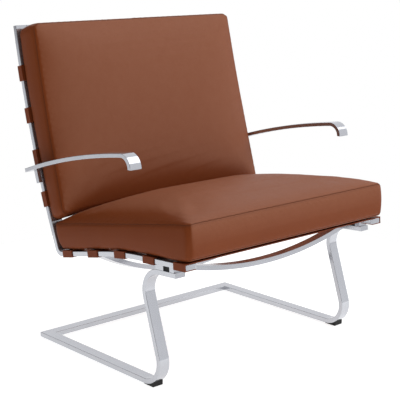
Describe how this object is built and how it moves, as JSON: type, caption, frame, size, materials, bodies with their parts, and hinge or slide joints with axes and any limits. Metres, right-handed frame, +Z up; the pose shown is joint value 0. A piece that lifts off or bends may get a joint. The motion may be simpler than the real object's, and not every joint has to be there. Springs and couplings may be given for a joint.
{
  "type": "cantilever lounge chair",
  "caption": "Low lounge chair on a cantilever frame of chromed flat bar, with loose leather seat and back cushions on leather straps.",
  "frame": {"origin": "on the floor, at the middle of the outer box", "axes": "+Z up, -Y towards the chair's front, +X across the chair, to the right as seen from the front"},
  "size_m": [0.76, 0.6923, 0.837],
  "materials": {
    "chrome": "polished",
    "steel": "plain",
    "black_rubber": "matt",
    "leather": "smooth, semi-matt",
    "strap_leather": "smooth, thick",
    "foam": "open-cell foam",
    "zip_tape": "woven tape"
  },
  "bodies": {
    "frame": {"base_side_bar_left": "chrome", "front_floor_pad_left": "black_rubber", "side_rail_left": "chrome", "rubber_spacer_left": "black_rubber", "front_spacer_left": "chrome", "arm_left": "chrome", "arm_bracket_left": "chrome", "base_side_bar_right": "chrome", "front_floor_pad_right": "black_rubber", "side_rail_right": "chrome", "rubber_spacer_right": "black_rubber", "front_spacer_right": "chrome", "arm_right": "chrome", "arm_bracket_right": "chrome", "base_rear_crossbar": "chrome", "rear_glides": "black_rubber", "back_top_crossbar": "chrome", "seat_front_crossbar": "chrome", "seat_rear_crossbar": "chrome", "frame_screws": "steel", "arm_screws": "steel", "seat_strap_1": "strap_leather", "seat_strap_2": "strap_leather", "seat_strap_3": "strap_leather", "seat_strap_4": "strap_leather", "seat_strap_5": "strap_leather", "back_strap_1": "strap_leather", "back_strap_2": "strap_leather", "back_strap_3": "strap_leather", "back_strap_4": "strap_leather", "strap_rivets": "steel"},
    "seat_cushion": {"seat_cushion_cover": "leather", "seat_cushion_core": "foam", "seat_cushion_zip": "zip_tape"},
    "back_cushion": {"back_cushion_cover": "leather", "back_cushion_core": "foam", "back_cushion_zip": "zip_tape"}
  },
  "joints": [
    {"name": "seat_cushion_pull", "type": "slide", "parent": "frame", "child": "seat_cushion", "axis": [0, -0.9744, 0.225], "range_m": [0, 0.2]},
    {"name": "back_cushion_lift", "type": "slide", "parent": "frame", "child": "back_cushion", "axis": [0, 0.1564, 0.9877], "range_m": [0, 0.2]}
  ]
}
